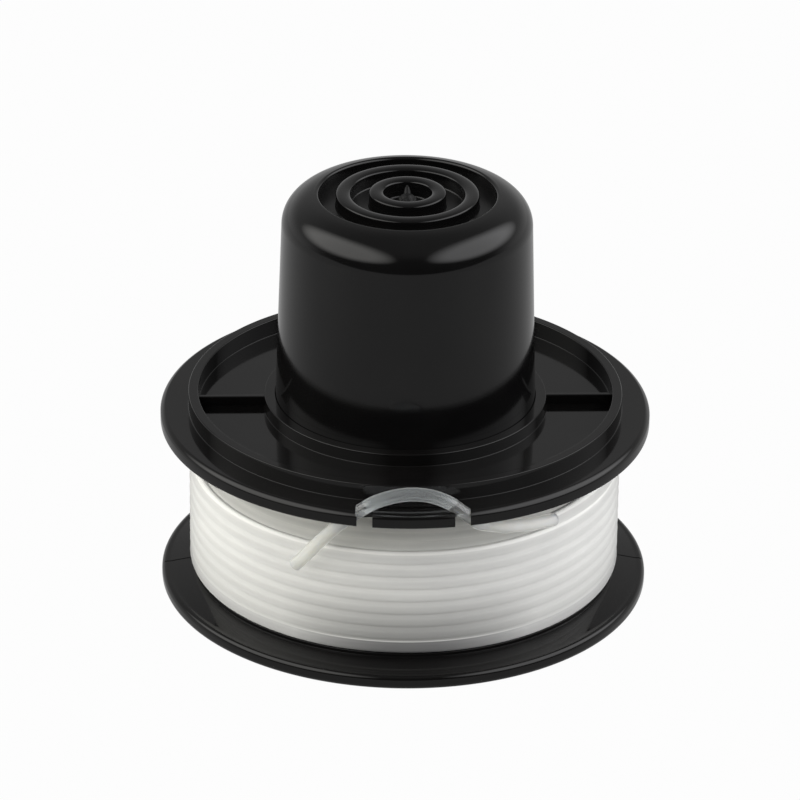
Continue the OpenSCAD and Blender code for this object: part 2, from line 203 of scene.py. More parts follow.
def joinParts(parts):
    verts = []
    faces = []
    for partVerts, partFaces in parts:
        base = len(verts)
        verts += partVerts
        faces += [tuple(base + i for i in face) for face in partFaces]
    return verts, faces


def cutAway(piece, parts, sharp=32):
    verts, faces = joinParts(parts)
    tool = meshPiece("cutter", verts, faces)
    modifier = piece.modifiers.new("cut", "BOOLEAN")
    modifier.operation = "DIFFERENCE"
    modifier.solver = "EXACT"
    modifier.object = tool
    applyModifiers(piece)
    bpy.data.objects.remove(tool)
    finishMesh(piece.data, sharp)


def applyModifiers(piece):
    bpy.context.view_layer.update()
    made = bpy.data.meshes.new_from_object(piece.evaluated_get(bpy.context.evaluated_depsgraph_get()))
    made.name = piece.name
    piece.modifiers.clear()
    piece.data = made


def joinPieces(name, pieces):
    work = bmesh.new()
    for piece in pieces:
        work.from_mesh(piece.data)
        bpy.data.objects.remove(piece)
    mesh = bpy.data.meshes.new(name)
    work.to_mesh(mesh)
    work.free()
    return addObject(name, mesh)


def smoothPath(points, between):
    made = []
    last = len(points) - 1
    points = [Vector(p) for p in points]
    for i in range(last):
        p0, p1, p2, p3 = points[max(i - 1, 0)], points[i], points[i + 1], points[min(i + 2, last)]
        for k in range(between):
            t = k / between
            made.append(0.5 * (2 * p1 + (p2 - p0) * t + (2 * p0 - 5 * p1 + 4 * p2 - p3) * t * t
                               + (3 * p1 - p0 - 3 * p2 + p3) * t ** 3))
    made.append(points[last])
    return made


# Small tools for node trees

def addNode(tree, kind, inputs=None, **settings):
    node = tree.nodes.new(kind)
    for key, value in settings.items():
        setattr(node, key, value)
    for key, value in (inputs or {}).items():
        if isinstance(value, bpy.types.NodeSocket):
            tree.links.new(value, node.inputs[key])
        else:
            node.inputs[key].default_value = value
    return node


def calc(tree, kind, *values):
    return addNode(tree, "ShaderNodeMath", dict(enumerate(values)), operation=kind).outputs[0]


def vectorCalc(tree, kind, *values):
    node = addNode(tree, "ShaderNodeVectorMath", dict(enumerate(values)), operation=kind)
    return node.outputs["Value" if kind in ("LENGTH", "DISTANCE") else "Vector"]


def fromAxis(tree, place):
    # The way from the reel's axis to a place
    return vectorCalc(tree, "MULTIPLY", place, (1, 1, 0))


def spread(tree, value, low, high, fromLow=0.3, fromHigh=0.7, way="LINEAR", clamp=True):
    return addNode(tree, "ShaderNodeMapRange", {
        "Value": value, "From Min": fromLow, "From Max": fromHigh, "To Min": low, "To Max": high,
    }, interpolation_type=way, clamp=clamp).outputs["Result"]


def addSocket(tree, name, kind, value=None, way="INPUT"):
    socket = tree.interface.new_socket(name=name, in_out=way, socket_type="NodeSocket" + kind)
    if value is not None:
        socket.default_value = value


def startTree(name, sockets):
    # An input without a value takes a mesh
    kinds = {float: "Float", int: "Int", type(None): "Geometry"}
    tree = bpy.data.node_groups.new(name, "GeometryNodeTree")
    tree.is_modifier = True
    for label, value in sockets.items():
        addSocket(tree, label, kinds[type(value)], value)
    addSocket(tree, "Finish", "Material")
    addSocket(tree, "Geometry", "Geometry", way="OUTPUT")
    return tree, addNode(tree, "NodeGroupInput").outputs


def endTree(tree, geometry, material):
    real = addNode(tree, "GeometryNodeRealizeInstances", {"Geometry": geometry})
    finish = addNode(tree, "GeometryNodeSetMaterial", {"Geometry": real.outputs["Geometry"],
                                                       "Material": material})
    addNode(tree, "NodeGroupOutput", {"Geometry": finish.outputs["Geometry"]})
    return tree


def setInput(modifier, tree, name, value):
    for item in tree.interface.items_tree:
        if item.item_type == "SOCKET" and item.in_out == "INPUT" and item.name == name:
            modifier[item.identifier] = value


# Materials

def newMaterial(name, color):
    material = bpy.data.materials.new(name)
    material.use_nodes = True
    material.diffuse_color = (*color, 1)
    tree = material.node_tree
    tree.nodes.clear()
    place = addNode(tree, "ShaderNodeTexCoord").outputs["Object"]
    shader = addNode(tree, "ShaderNodeBsdfPrincipled")
    out = addNode(tree, "ShaderNodeOutputMaterial", {"Surface": shader.outputs["BSDF"]})
    out.is_active_output = True
    return material, tree, place, shader


def noiseAt(tree, place, grain, detail=3, rough=0.55):
    # grain is the size of a patch in millimetres
    return addNode(tree, "ShaderNodeTexNoise", {
        "Vector": place, "Scale": 1 / (grain * mm), "Detail": detail, "Roughness": rough}).outputs["Fac"]


def mixColor(tree, share, first, second):
    node = addNode(tree, "ShaderNodeMix", data_type="RGBA")
    for index, value in ((6, first), (7, second)):
        if isinstance(value, bpy.types.NodeSocket):
            tree.links.new(value, node.inputs[index])
        else:
            node.inputs[index].default_value = (*value, 1)
    tree.links.new(share, node.inputs[0])
    return node.outputs[2]


def scaleColor(tree, color, factor):
    node = addNode(tree, "ShaderNodeVectorMath", {0: color, "Scale": factor}, operation="SCALE")
    return node.outputs[0]


def addBump(tree, shader, height, depth):
    bump = addNode(tree, "ShaderNodeBump", {"Height": height, "Distance": depth * mm})
    tree.links.new(bump.outputs["Normal"], shader.inputs["Normal"])


mouldValues = {
    "roughPatch": 0.4,     # patches of roughness against patches of colour
    "wave": 14,            # the surface's slow wave against its grain
    "waveWeight": 6.0,
    "dullEdge": 0.02,
}


def plasticMaterial(name, v):
    material, tree, place, shader = newMaterial(name, v["color"])
    tint = spread(tree, noiseAt(tree, place, v["patch"], 4), 0, 1)
    tree.links.new(mixColor(tree, tint, v["color"], v["color2"]), shader.inputs["Base Color"])
    patches = noiseAt(tree, place, v["patch"] * mouldValues["roughPatch"], 5)
    rough = spread(tree, patches, *v["roughness"])
    tree.links.new(rough, shader.inputs["Roughness"])
    grain = noiseAt(tree, place, v["grain"], 2)
    wave = noiseAt(tree, place, v["grain"] * mouldValues["wave"], 2)
    both = calc(tree, "MULTIPLY_ADD", wave, mouldValues["waveWeight"], grain)
    addBump(tree, shader, both, v["grainDepth"])
    if "dull" in v:   # the mould is rougher in the grooves
        reach, low, high, level = v["dull"]
        edge = mouldValues["dullEdge"]
        parts = addNode(tree, "ShaderNodeSeparateXYZ", {"Vector": place}).outputs
        out = vectorCalc(tree, "LENGTH", fromAxis(tree, place))
        within = spread(tree, out, 1, 0, (reach - edge) * mm, (reach + edge) * mm)
        under = spread(tree, parts["Z"], 1, 0, low * mm, high * mm)
        share = calc(tree, "MULTIPLY", within, under)
        tree.links.new(calc(tree, "MULTIPLY_ADD", share, level, rough), shader.inputs["Roughness"])
    shader.inputs["IOR"].default_value = v["ior"]
    return material


lineLook = {
    "streak": (1, 1, 5),
    "upper": (-0.45, 0.35),    # where a turn's lower side goes over into its upper side, which gets painted shade
    "paintedCrestRange": (0.68, 0.82),
    "edge": (0.5, 0.85),       # where the sheen grows towards the free line's edges
    "grain": 0.5,
    "roughPatch": 2.0,
    "bleed": (1.0, 0.95, 0.85),
    "sheenRough": 0.3,
}


def softNormal(tree, place, share):
    # Light spreads from turn to turn, so the turns shade more like one smooth drum
    out = vectorCalc(tree, "NORMALIZE", fromAxis(tree, place))
    normal = addNode(tree, "ShaderNodeNewGeometry").outputs["Normal"]
    mixed = addNode(tree, "ShaderNodeMix", {0: share, 4: normal, 5: out}, data_type="VECTOR").outputs[1]
    return normal, vectorCalc(tree, "NORMALIZE", mixed)


def shadeTurns(tree, place, normal, color, v):
    # Painted shade: the upper side of each turn is made darker, by the way its normal points
    up = addNode(tree, "ShaderNodeSeparateXYZ", {"Vector": normal}).outputs["Z"]
    upper = spread(tree, up, 0, 1, *lineLook["upper"])
    color = mixColor(tree, upper, color, scaleColor(tree, color, v["paintedUpperShade"]))
    # Painted highlight: a lighter colour on the top of a turn that nothing lies on
    color = mixColor(tree, spread(tree, up, 0, 1, *lineLook["paintedCrestRange"]), color, v["paintedCrestLight"])
    # Painted light: lighter near the sleeve, where two turns touch and the groove would be shaded
    out = vectorCalc(tree, "LENGTH", fromAxis(tree, place))
    deep, top = v["grooves"]
    touch = spread(tree, out, 1, 0, deep * mm, top * mm)
    return mixColor(tree, touch, color, scaleColor(tree, color, v["paintedTouchLight"]))


def nylonMaterial(name, v):
    material, tree, place, shader = newMaterial(name, v["color"])
    streak = addNode(tree, "ShaderNodeMapping", {"Vector": place, "Scale": lineLook["streak"]})
    tint = spread(tree, noiseAt(tree, streak.outputs["Vector"], v["patch"], 3), 0, 1)
    color = mixColor(tree, tint, v["color"], v["color2"])
    parts = addNode(tree, "ShaderNodeSeparateXYZ", {"Vector": place}).outputs
    for low, high, reach, shade in v["paintedShades"]:   # each entry paints shade or light by height, and one with a reach fades away from the front
        share = spread(tree, parts["Z"], 0, 1, low * mm, high * mm)
        if reach:
            front = spread(tree, parts["Y"], 1, 0, v["front"] * mm, (v["front"] + reach) * mm)
            share = calc(tree, "MULTIPLY", share, front)
        color = mixColor(tree, share, color, shade)
    bump = addNode(tree, "ShaderNodeBump", {"Height": noiseAt(tree, place, lineLook["grain"], 3),
                                            "Distance": v["grainDepth"] * mm})
    levels = {
        "Transmission Weight": v["clear"],
        "Subsurface Weight": v["subsurface"],
        "Sheen Weight": v["sheen"],
        "Sheen Roughness": lineLook["sheenRough"],
        "Subsurface Radius": lineLook["bleed"],
        "Subsurface Scale": v["reach"] * mm,
        "IOR": v["ior"],
    }
    for key, value in levels.items():
        shader.inputs[key].default_value = value
    if "paintedGlow" in v:
        # Painted light: the clear nylon line turns milky white and less clear where the winding's light
        # would show through it
        paintedGlow = addNode(tree, "ShaderNodeAttribute", attribute_name="paintedGlow").outputs["Fac"]
        color = mixColor(tree, paintedGlow, color, v["paintedGlow"])
        clear = spread(tree, paintedGlow, v["clear"], v["paintedGlowClear"], 0, 1, clamp=False)
        tree.links.new(clear, shader.inputs["Transmission Weight"])
        white = spread(tree, paintedGlow, v["subsurface"], 1.0, 0, 1)
        tree.links.new(white, shader.inputs["Subsurface Weight"])
        edge = addNode(tree, "ShaderNodeLayerWeight", {"Blend": 0.5}).outputs["Facing"]
        sheen = spread(tree, edge, v["sheen"], v["edgeSheen"], *lineLook["edge"])
        tree.links.new(sheen, shader.inputs["Sheen Weight"])
    if v["spread"]:
        normal, soft = softNormal(tree, place, v["spread"])
        tree.links.new(soft, bump.inputs["Normal"])
        color = shadeTurns(tree, place, normal, color, v)
    tree.links.new(bump.outputs["Normal"], shader.inputs["Normal"])
    tree.links.new(color, shader.inputs["Base Color"])
    rough = spread(tree, noiseAt(tree, place, lineLook["roughPatch"], 3), *v["roughness"])
    tree.links.new(rough, shader.inputs["Roughness"])
    return material


def metalMaterial(name, v):
    material, tree, place, shader = newMaterial(name, v["color"])
    brush = addNode(tree, "ShaderNodeMapping", {"Vector": place, "Scale": v["brush"]})
    lines = noiseAt(tree, brush.outputs["Vector"], v["grain"], 3)
    tint = spread(tree, noiseAt(tree, place, v["patch"], 4), 0, 1)
    tree.links.new(mixColor(tree, tint, v["color"], v["color2"]), shader.inputs["Base Color"])
    tree.links.new(spread(tree, lines, *v["roughness"]), shader.inputs["Roughness"])
    addBump(tree, shader, lines, v["grainDepth"])
    shader.inputs["Metallic"].default_value = 1
    return material


spoolPlastic = plasticMaterial("spoolPlastic", {
    "color": (0.0032, 0.003, 0.003),
    "color2": (0.0045, 0.0043, 0.0042),
    "patch": 6.0,
    "roughness": (0.065, 0.11),
    "grain": 0.15,
    "grainDepth": 0.0003,
    "ior": 1.35,
})
knobPlastic = plasticMaterial("knobPlastic", {
    "color": (0.0028, 0.0027, 0.0028),
    "color2": (0.004, 0.0039, 0.0039),
    "patch": 8.0,
    "roughness": (0.09, 0.13),
    "grain": 0.15,
    "grainDepth": 0.0003,
    "ior": 1.37,
    "dull": (11.07, 52.4, 53.0, 0.22),
})
gatePlastic = plasticMaterial("gatePlastic", {
    "color": (0.0025, 0.0025, 0.0025),
    "color2": (0.004, 0.004, 0.004),
    "patch": 0.6,
    "roughness": (0.4, 0.6),
    "ior": 1.33,
    "grain": 0.15,
    "grainDepth": 0.012,
})
innerPlastic = plasticMaterial("innerPlastic", {
    "color": (0.76, 0.74, 0.68),
    "color2": (0.7, 0.68, 0.61),
    "patch": 5.0,
    "roughness": (0.35, 0.5),
    "grain": 0.15,
    "grainDepth": 0.002,
    "ior": 1.48,
})
metalLook = {
    "patch": 3.0,
    "brush": (1, 1, 6),
    "grain": 0.2,
    "grainDepth": 0.002,
}
springSteel = metalMaterial("springSteel", {
    **metalLook,
    "color": (0.58, 0.59, 0.61),
    "color2": (0.45, 0.455, 0.47),
    "roughness": (0.22, 0.38),
})
bushBrass = metalMaterial("bushBrass", {
    **metalLook,
    "color": (0.72, 0.54, 0.27),
    "color2": (0.6, 0.43, 0.2),
    "roughness": (0.2, 0.36),
})
woundLook = {
    "patch": 6.0,
    "paintedTouchLight": 1.1,         # painted light: lighter where two turns touch, in place of the grooves' shade
    "ior": 1.4,
    "subsurface": 0.0,
    "sheen": 0.2,
    "clear": 0.0,
}
turnNylon = nylonMaterial("turnNylon", {
    **woundLook,
    "color": (0.755, 0.755, 0.73),
    "color2": (0.7, 0.7, 0.68),
    "spread": 0.7,         # how much the light evens out over the turns
    "paintedUpperShade": 0.84,           # painted shade on the upper side of a turn, against its lower side
    "paintedCrestLight": (0.81, 0.81, 0.78),   # painted highlight on the top of a turn that nothing lies on
    # Painted shade: darker towards the bottom, more at the front, darkest on the lowest turn's front,
    # with a lighter painted line where the lowest turn meets the next
    "front": -27.2,
    "paintedShades": [(12.0, 5.6, 0, (0.62, 0.62, 0.6)), (11.0, 5.6, 5.0, (0.34, 0.34, 0.33)),
               (4.88, 4.8, 0, (0.62, 0.62, 0.6)), (4.72, 4.64, 0, (0.5, 0.5, 0.49)),
               (4.72, 4.64, 4.0, (0.18, 0.18, 0.18))],
    "grooves": (27.2, 27.38),
    "roughness": (0.3, 0.42),
    "grainDepth": 0.001,
    "reach": 3.5,
})
# Painted shade: the inner turns and the layers under them are the same line as the outer turns, made darker
# for the top flange's shade
paintedShadeNylon = nylonMaterial("paintedShadeNylon", {
    **woundLook,
    "color": (0.53, 0.53, 0.5),
    "color2": (0.485, 0.485, 0.46),
    "spread": 0.6,
    # painted shade on the upper side of an inner turn
    "paintedUpperShade": 0.85,
    # painted highlight on the top of the inner layer's turns
    "paintedCrestLight": (0.62, 0.62, 0.59),
    "grooves": (25.8, 25.95),
    "front": -26.0,
    # painted light: the foot of the inner layer is lighter, against the shade beside the outer layer's top
    # turn
    "paintedShades": [(17.5, 16.9, 0, (0.64, 0.64, 0.61))],
    "roughness": (0.35, 0.5),
    "grainDepth": 0.002,
    "reach": 1.6,
})
freeNylon = nylonMaterial("freeNylon", {
    "color": (0.84, 0.875, 0.88),
    "color2": (0.79, 0.83, 0.84),
    "patch": 3.0,
    "spread": 0,
    "paintedShades": [],
    "roughness": (0.04, 0.09),
    "grainDepth": 0.001,
    "ior": 1.52,
    # painted light from the winding, showing through the line
    "paintedGlow": (0.73, 0.73, 0.695),
    "subsurface": 0.1,
    "reach": 2.5,
    "sheen": 0.05,
    "edgeSheen": 1.0,
    "paintedGlowClear": 0.5,
    "clear": 0.95,
})


def dress(piece, material, slot, body, *nodes):
    piece.data.materials.clear()
    piece.data.materials.append(material)
    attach(piece, body)
    if nodes:
        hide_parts(*nodes)


print("materials made")


# Free line: the cord comes before the rest

lineValues = {
    "width": 1.65,
    "sides": 28,
    "between": 7,          # path points between two stations
    "smoothings": 3,
    "sharp": 40,
    "pinch": (7.05, 11),   # how far aside the far wall of a notch hides the line
    "rimStart": 30.4,      # where the flange's top edge starts to round off
    "rimRound": 0.6,
    "rimLow": 23.68,
    "rimHigh": 0.62,
    # where the painted glow from the winding fades out up the line
    "paintedGlowLow": 20.5,
    "paintedGlowHigh": 25.4,
    "glowDoubleLow": 9.0,       # the painted glow grows twice as strong towards the winding
    "glowDoubleReach": 4.0,
    "hideBelow": 0.2,      # how deep the pinched stretch lies in the flange
}
lineStations = [
    (17.84, -19.68, 17.8), (16.2, -21.2, 18.2), (14.6, -22.8, 18.75), (13.0, -24.3, 19.4),
    (11.4, -25.7, 20.0), (9.8, -27.0, 20.9), (8.8, -28.0, 21.5), (7.9, -28.8, 22.15),
    (7.2, -29.25, 22.95), (6.4, -29.35, 23.6), (5.75, -29.3, 24.05), (5.0, -29.15, 24.6),
    (4.1, -28.95, 25.1), (2.2, -28.7, 25.75), (0, -28.6, 25.98), (-2.2, -28.7, 25.8),
    (-4.1, -28.95, 25.35), (-5.0, -29.15, 25.05), (-5.7, -29.3, 24.7), (-6.4, -29.35, 24.25),
    (-7.1, -29.3, 23.75), (-7.9, -29.05, 23.05), (-8.6, -28.7, 22.35), (-9.3, -28.3, 21.6),
    (-10.4, -27.6, 20.1), (-11.7, -26.8, 18.3), (-13.0, -26.0, 16.4), (-14.3, -25.1, 14.6)]


def sweepRound(path, radius, sides, upright):
    verts = []
    last = len(path) - 1
    for i, here in enumerate(path):
        ahead = (path[min(i + 1, last)] - path[max(i - 1, 0)]).normalized()
        across = ahead.cross(upright).normalized()
        other = ahead.cross(across)
        for k in range(sides):
            a = 2 * math.pi * (k + 0.5) / sides
            verts.append(here + radius * (math.cos(a) * across + math.sin(a) * other))
    return verts, ringFaces(len(path), sides)


def makeFreeLine(v, stations):
    path = smoothPath(stations, v["between"])
    for smoothing in range(v["smoothings"]):
        path = [path[0]] + [(path[i - 1] + 2 * path[i] + path[i + 1]) / 4
                            for i in range(1, len(path) - 1)] + [path[-1]]
    verts, faces = sweepRound(path, v["width"] / 2, v["sides"], Vector((0, 1, 0)))
    near, far = v["pinch"]
    for vert in verts:   # the notch pinches the line, and its wall hides the stretch inside
        if near < abs(vert.x) < far:
            out = max(0, math.hypot(vert.x, vert.y) - v["rimStart"]) / v["rimRound"]
            rise = v["rimHigh"] * math.sqrt(max(0, 1 - out * out))
            vert.z = min(vert.z, v["rimLow"] + rise - v["hideBelow"])
    line = meshPiece("freeLine", verts, faces, v["sharp"])
    paintedGlow = line.data.attributes.new("paintedGlow", "FLOAT", "POINT")
    for vert, cell in zip(line.data.vertices, paintedGlow.data):   # painted light: milky white where it lies by the winding, for the winding's light showing through the clear line
        rise = (vert.co.z / mm - v["paintedGlowLow"]) / (v["paintedGlowHigh"] - v["paintedGlowLow"])
        thick = (vert.co.x / mm - v["glowDoubleLow"]) / v["glowDoubleReach"]
        cell.value = (1 - min(1, max(0, rise))) * (1 + min(1, max(0, thick)))
    line.visible_shadow = False   # light goes through it
    dress(line, freeNylon, "line_nylon", "spool", "line_tail")
    path = [tuple(p * mm) for p in path]


makeFreeLine(lineValues, lineStations)


# Wound line and spring: one Geometry Nodes tree makes both

def woundWireTree():
    tree, given = startTree("woundWire", {
        "Turns": 8.0, "Steps": 800, "Sides": 20, "Coil radius": 0.026, "Wire radius": 0.0008,
        "First height": 0.004, "Rise per turn": 0.0017, "First angle": 0.0, "Angle per turn": -2 * math.pi,
        "Climb share": 0.17, "Steady climb": 0.0, "Taper share": 0.001, "End scale": 1.0,
        "Dive share": 0.001, "Dive depth": 0.0})
    start = addNode(tree, "GeometryNodeCurvePrimitiveLine")
    points = addNode(tree, "GeometryNodeResampleCurve", {
        "Curve": start.outputs["Curve"], "Count": given["Steps"]})
    share = addNode(tree, "GeometryNodeSplineParameter").outputs["Factor"]
    turned = calc(tree, "MULTIPLY", share, given["Turns"])
    flat = calc(tree, "SUBTRACT", 1.0, given["Climb share"])
    climb = spread(tree, calc(tree, "FRACT", turned), 0.0, 1.0, flat, 1.0, "SMOOTHSTEP")
    stepped = calc(tree, "ADD", calc(tree, "FLOOR", turned), climb)
    even = calc(tree, "MULTIPLY", calc(tree, "SUBTRACT", turned, stepped), given["Steady climb"])
    climbed = calc(tree, "ADD", stepped, even)
    height = calc(tree, "MULTIPLY_ADD", climbed, given["Rise per turn"], given["First height"])
    angle = calc(tree, "MULTIPLY_ADD", turned, given["Angle per turn"], given["First angle"])
    dive = spread(tree, share, given["Dive depth"], 0.0, 0.0, given["Dive share"], "SMOOTHSTEP")
    radius = calc(tree, "SUBTRACT", given["Coil radius"], dive)
    place = addNode(tree, "ShaderNodeCombineXYZ", {
        "X": calc(tree, "MULTIPLY", calc(tree, "COSINE", angle), radius),
        "Y": calc(tree, "MULTIPLY", calc(tree, "SINE", angle), radius), "Z": height})
    coil = addNode(tree, "GeometryNodeSetPosition", {
        "Geometry": points.outputs["Curve"], "Position": place.outputs["Vector"]})
    ring = addNode(tree, "GeometryNodeCurvePrimitiveCircle", {
        "Resolution": given["Sides"], "Radius": given["Wire radius"]})
    taperStart = calc(tree, "SUBTRACT", 1.0, given["Taper share"])
    wire = addNode(tree, "GeometryNodeCurveToMesh", {
        "Curve": coil.outputs["Geometry"], "Profile Curve": ring.outputs["Curve"],
        "Scale": spread(tree, share, 1.0, given["End scale"], taperStart, 1.0), "Fill Caps": True})
    return endTree(tree, wire.outputs["Mesh"], given["Finish"])


def windWire(name, tree, inputs, material, sharp=40):
    piece = addObject(name, bpy.data.meshes.new(name))
    modifier = piece.modifiers.new("wind", "NODES")
    modifier.node_group = tree
    for key, value in inputs.items():
        setInput(modifier, tree, key, value)
    setInput(modifier, tree, "Finish", material)
    applyModifiers(piece)
    finishMesh(piece.data, sharp)
    return piece


woundWire = woundWireTree()

windingValues = {
    "outerRadius": 26.49,
    "innerRadius": 25.125,
    "outerWire": 1.82,     # the turns touch each other
    "innerWire": 1.72,
    "outerFirst": 3.875,
    "innerFirst": 22.025,
    "outerRise": 1.74,
    "innerRise": 1.71,
    "firstAngle": 60,
    "leaveAngle": -47.8,
    "taperShare": 0.006,   # where the last turn goes over into the free line
    "endScale": 0.895,
    "diveShare": 0.012,    # the first turn comes out from between two layers
    "diveDepth": 2.6,
    "climbShare": 60 / 360,
    "outerTurns": 8,
    "innerTurns": 4,
    "sides": 24,
    "outerSteps": 900,
    "innerSteps": 420,
    "outerFill": (27.2, 3.9, 16.0, 0),   # a nylon sleeve fills the grooves between the turns so that they don't shade; it stands in for light spreading between the translucent turns
    "innerFill": (25.8, 16.6, 22.0, 0.5),
}


def fillSleeve(sizes, thick=0.8, steps=144):
    # The foot flares out, so that it meets the turn that it stands on and fills the shaded crevice there
    out, low, high, flare = sizes
    return lathe("fill", [(out - thick, low), (out + flare, low), (out + flare * 0.4, low + 0.6),
                          (out, low + 1.3), (out, high), (out - thick, high)], steps)


def makeWindings(v):
    shared = {
        "Sides": v["sides"],
        "First angle": math.radians(v["firstAngle"]),
        "Angle per turn": -2 * math.pi,
        "Climb share": v["climbShare"],
    }
    outer = windWire("outerTurns", woundWire, {
        **shared,
        "Turns": v["outerTurns"] + (v["firstAngle"] - v["leaveAngle"]) / 360,
        "Steps": v["outerSteps"],
        "Coil radius": v["outerRadius"] * mm,
        "Wire radius": v["outerWire"] / 2 * mm,
        "First height": v["outerFirst"] * mm,
        "Rise per turn": v["outerRise"] * mm,
        "Taper share": v["taperShare"],
        "End scale": v["endScale"],
        "Dive share": v["diveShare"],
        "Dive depth": v["diveDepth"] * mm,
    }, turnNylon)
    outer = joinPieces("outerTurns", [outer, fillSleeve(v["outerFill"])])
    dress(outer, turnNylon, "line_nylon", "spool", "line_outer_turns")
    inner = windWire("innerTurns", woundWire, {
        **shared,
        "Turns": v["innerTurns"] - v["climbShare"],
        "Steps": v["innerSteps"],
        "Coil radius": v["innerRadius"] * mm,
        "Wire radius": v["innerWire"] / 2 * mm,
        "First height": v["innerFirst"] * mm,
        "Rise per turn": -v["innerRise"] * mm,
    }, paintedShadeNylon)
    inner = joinPieces("innerTurns", [inner, fillSleeve(v["innerFill"])])
    dress(inner, paintedShadeNylon, "line_nylon", "spool", "line_inner_turns")


makeWindings(windingValues)

layerValues = {
    "drum": 18.71,
    "low": 3.01,
    "high": 22.85,
    "lowBump": 25.1,       # outside of the layer under the outer turns
    "highBump": 23.7,      # outside of the layer under the inner turns
    "stepHeight": 16.0,
    "wire": 1.74,
    "least": 0.1,          # no bump is lower than this
    "bumpSteps": 8,
    "sharp": 50,
    "steps": 180,
}


def makeUnderLayers(v):
    outline = [(v["drum"], v["low"])]
    height = v["low"]
    radius = v["wire"] / 2
    while height < v["high"] - v["least"]:
        top = min(height + v["wire"], v["high"])
        out = v["lowBump"] if height < v["stepHeight"] - radius else v["highBump"]
        middle = (height + top) / 2
        half = (top - height) / 2
        for i in range(v["bumpSteps"] + 1):
            a = math.pi * (i / v["bumpSteps"] - 0.5)
            outline.append((out - radius + radius * math.cos(a), middle + half * math.sin(a)))
        height = top
    outline.append((v["drum"], v["high"]))
    layers = lathe("underLayers", outline, v["steps"], v["sharp"])
    dress(layers, paintedShadeNylon, "line_nylon", "spool", "line_core")


makeUnderLayers(layerValues)
print("line wound")


# Spool

spoolValues = {
    "flange": 31.0,
    "lowThick": 1.9,
    "topLow": 22.9,
    "top": 24.3,
    "bore": 17.25,
    "drum": 18.7,
    "seat": 27.0,
    "seatFoot": 2.5,       # the lower flange rises a little towards the wound line
    "dishOut": 30.0,
    "seatTop": 3.0,
    "guide": 16.49,
    "lipLow": 21.8,
    "collar": 17.86,
    "collarTop": 25.95,
    "wallOut": 27.45,
    "wallIn": 26.2,
    "wallTop": 26.5,
    "edge": 0.7,
    "footEdge": 0.25,
    "wallEdge": 0.15,
    "foot": 0.1,
    "lipEdge": 0.08,
    "fineEdge": 0.05,
    "dishBend": 1.5,
    "seatBend": 0.03,
    "guard": 0.08,         # keeps a flat face flat beside its rounding
    "rimIn": 30.4,
    "rimDrop": 0.62,
    "rimCurve": (30, 78),  # how steep the rim's chamfer starts and ends
    "rimLip": 0.5,
    "rimLipWide": 0.9,
    "reliefIn": 20.4,
    "reliefOut": 29.3,
    "reliefDeep": 0.5,
    "reliefRib": 1.2,
    "reliefRibs": 8,
    "web": (2.2, 3.8),
    "journal": 6.58,
    "keys": 4,
    "keyWide": 2.8,
    "keyAngle": 45,
    "notchNear": 5.05,
    "notchFar": 6.95,
    "notchBack": -28.6,
    "tabOut": 30.3,
    "tabTop": 24.1,
    "tabThick": 0.1,
    "tabSink": 0.3,
    "tabEdge": 0.08,
    "rib": 0.7,
    "ribTop": 25.5,
    "ribEdge": 0.12,
    "seam": (0.1, 0.15),
    "seamTop": 2.6,
    "sink": 0.2,           # how deep a joined part stands in its neighbour
    "sharp": 32,
    "steps": 288,
    "webSteps": 144,
}


def repeatRoundTree():
    tree, given = startTree("repeatRound", {"Geometry": None, "Count": 4, "First angle": 0.0})
    spots = addNode(tree, "GeometryNodeMeshLine", {"Count": given["Count"], "Offset": (0, 0, 0)})
    index = addNode(tree, "GeometryNodeInputIndex").outputs["Index"]
    step = calc(tree, "DIVIDE", 2 * math.pi, given["Count"])
    angle = calc(tree, "MULTIPLY_ADD", index, step, given["First angle"])
    turn = addNode(tree, "ShaderNodeCombineXYZ", {"Z": angle})
    copies = addNode(tree, "GeometryNodeInstanceOnPoints", {
        "Points": spots.outputs["Mesh"], "Instance": given["Geometry"],
        "Rotation": turn.outputs["Vector"]})
    return endTree(tree, copies.outputs["Instances"], given["Finish"])


repeatRound = repeatRoundTree()


def repeatPart(name, part, count, firstAngle, material):
    piece = meshPiece(name, *part)
    modifier = piece.modifiers.new("repeat", "NODES")
    modifier.node_group = repeatRound
    setInput(modifier, repeatRound, "Count", count)
    setInput(modifier, repeatRound, "First angle", math.radians(firstAngle))
    setInput(modifier, repeatRound, "Finish", material)
    applyModifiers(piece)
    finishMesh(piece.data)
    return piece


def roundedBar(start, end, wide, low, high, edge, steps=4):
    # A bar along the X axis with rounded top edges
    half = wide / 2
    profile = [(-half, low)]
    profile += [(-half + edge - edge * math.cos(a), high - edge + edge * math.sin(a))
                for a in (math.pi / 2 * i / steps for i in range(steps + 1))]
    profile += [(-y, z) for y, z in reversed(profile)]
    return [(x, y, z) for x in (start, end) for y, z in profile], ringFaces(2, len(profile))


def tabPart(v, steps=24):
    # The raised face between the notches, with a rounded front edge
    verts = []
    edge = v["tabEdge"]
    top = v["tabTop"]
    low = top - v["tabThick"]
    foot = low - v["tabSink"]
    half = v["notchNear"]
    back = v["notchBack"]
    for i in range(steps + 1):
        x = -half + 2 * half * i / steps
        front = -math.sqrt(v["tabOut"] ** 2 - x * x)
        column = [(back, foot), (back, top - edge), (back - edge, top),
                  (front + edge * 1.5, top), (front + edge * 0.4, top - edge * 0.4),
                  (front, low - 0.02), (front, foot)]
        verts += [(x, y, z) for y, z in column]
    return verts, ringFaces(steps + 1, len(column))


def chamferArc(low, high, flat, steep, steps):
    # A chamfer that bulges a little: its slope goes from steep below to flat above
    first, last = math.radians(steep), math.radians(flat)
    full = (math.sin(first) - math.sin(last), math.cos(last) - math.cos(first))
    points = []
    for i in range(steps + 1):
        a = first + (last - first) * i / steps
        points.append((low[0] + (high[0] - low[0]) * (math.sin(first) - math.sin(a)) / full[0],
                       low[1] + (high[1] - low[1]) * (math.cos(a) - math.cos(first)) / full[1]))
    return points


